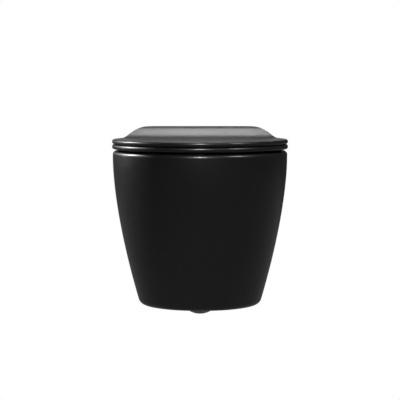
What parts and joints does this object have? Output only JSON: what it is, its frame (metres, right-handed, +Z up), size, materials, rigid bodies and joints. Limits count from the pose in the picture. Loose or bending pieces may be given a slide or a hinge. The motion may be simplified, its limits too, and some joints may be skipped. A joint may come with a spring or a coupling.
{
  "type": "wall hung toilet",
  "caption": "Short wall hung toilet pan in matt black china with a slim soft-closing seat and an oval lid that rises over lift-off hinges.",
  "frame": {"origin": "midway between the two wall fixings, on the wall's face", "axes": "+X to the right of someone facing the wall, +Y into the wall, +Z up; the pan's front points to -Y"},
  "size_m": [0.363, 0.498, 0.3887],
  "materials": {
    "china": "satin black glaze",
    "seat_plastic": "satin black moulding",
    "lid_plastic": "satin black moulding",
    "buffer_rubber": "matt",
    "gasket_rubber": "matt",
    "damper_housing": "moulded",
    "nylon": "moulded",
    "cap_plastic": "satin black",
    "hinge_plastic": "satin black",
    "button_plastic": "satin dark grey",
    "hinge_metal": "brushed",
    "shaft_steel": "turned",
    "fixing_steel": "zinc plated"
  },
  "bodies": {
    "pan": {"ceramic_pan": "china", "stud_sleeve_left": "fixing_steel", "stud_sleeve_right": "fixing_steel", "guide_bushing_left": "nylon", "guide_bushing_right": "nylon", "clamp_screw_left": "fixing_steel", "clamp_screw_right": "fixing_steel", "side_cap_left": "cap_plastic", "side_cap_right": "cap_plastic", "plate_gasket_left": "gasket_rubber", "plate_gasket_right": "gasket_rubber", "base_plate_left": "hinge_metal", "base_plate_right": "hinge_metal", "hinge_post_left": "shaft_steel", "hinge_post_right": "shaft_steel", "deck_anchor_left": "gasket_rubber", "deck_anchor_right": "gasket_rubber", "anchor_nut_left": "nylon", "anchor_nut_right": "nylon"},
    "hinge_carrier": {"hinge_block_left": "hinge_plastic", "hinge_block_right": "hinge_plastic", "retaining_clip_left": "shaft_steel", "retaining_clip_right": "shaft_steel", "hinge_pin_left": "shaft_steel", "hinge_pin_right": "shaft_steel", "seat_damper_shaft": "shaft_steel", "lid_damper_shaft": "shaft_steel"},
    "release_left": {"release_button_left": "button_plastic"},
    "release_right": {"release_button_right": "button_plastic"},
    "seat": {"seat_ring": "seat_plastic", "seat_buffers": "buffer_rubber", "seat_damper": "damper_housing", "seat_cheek_bush": "nylon"},
    "lid": {"lid": "lid_plastic", "lid_buffers": "buffer_rubber", "lid_damper": "damper_housing", "lid_cheek_bush": "nylon"}
  },
  "joints": [
    {"name": "seat_lift_off", "type": "slide", "parent": "pan", "child": "hinge_carrier", "axis": [0, 0, 1], "range_m": [0, 0.03], "deforming": ["retaining_clip_left", "retaining_clip_right"]},
    {"name": "seat_hinge", "type": "hinge", "parent": "hinge_carrier", "child": "seat", "pos_m": [0, -0.084, 0.108], "axis": [-1, 0, 0], "range_deg": [0, 95]},
    {"name": "lid_hinge", "type": "hinge", "parent": "seat", "child": "lid", "pos_m": [0, -0.084, 0.108], "axis": [1, 0, 0], "range_deg": [-100, 0]},
    {"name": "release_left", "type": "slide", "parent": "hinge_carrier", "child": "release_left", "axis": [0, -1, 0], "range_m": [0, 0.002], "stiffness_N_per_m": 400, "springref_m": -0.004},
    {"name": "release_right", "type": "slide", "parent": "hinge_carrier", "child": "release_right", "axis": [0, -1, 0], "range_m": [0, 0.002], "stiffness_N_per_m": 400, "springref_m": -0.004}
  ]
}
